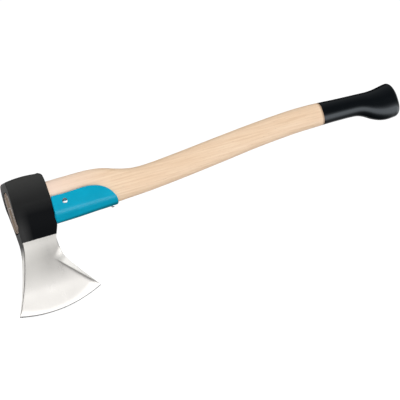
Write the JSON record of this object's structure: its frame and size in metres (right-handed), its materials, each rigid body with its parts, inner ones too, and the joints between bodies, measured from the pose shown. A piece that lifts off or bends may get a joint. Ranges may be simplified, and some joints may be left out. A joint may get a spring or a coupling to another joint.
{
  "type": "felling axe",
  "caption": "Felling axe: flared polished blade on a black lacquered eye, curved ash handle with a blue sheet-metal guard under its neck and a black coated knob.",
  "frame": {"origin": "centre of the head's eye, where the handle passes through, midway between the cheeks", "axes": "+X runs along the handle from the head to the knob, +Z points to the poll with the cutting edge facing -Z, +Y points out of the right cheek as seen by a person holding the knob"},
  "size_m": [0.6296, 0.034, 0.172],
  "materials": {
    "head_steel": "ground and polished blade; satin black lacquer over the eye and the poll",
    "ash_wood": "pale ash, sanded and clear lacquered",
    "wedge_wood": "sawn hardwood end grain",
    "wedge_steel": "turned steel",
    "guard_blue": "glossy blue paint",
    "screw_zinc": "bright zinc plate",
    "knob_black": "glossy dipped black coat"
  },
  "bodies": {
    "root": {"axe_head": "head_steel", "handle": "ash_wood", "eye_wedge": "wedge_wood", "ring_wedge": "wedge_steel", "guard_sleeve": "guard_blue", "side_screw_left": "screw_zinc", "side_screw_right": "screw_zinc", "end_screw": "screw_zinc", "knob_coat": "knob_black"}
  },
  "joints": []
}
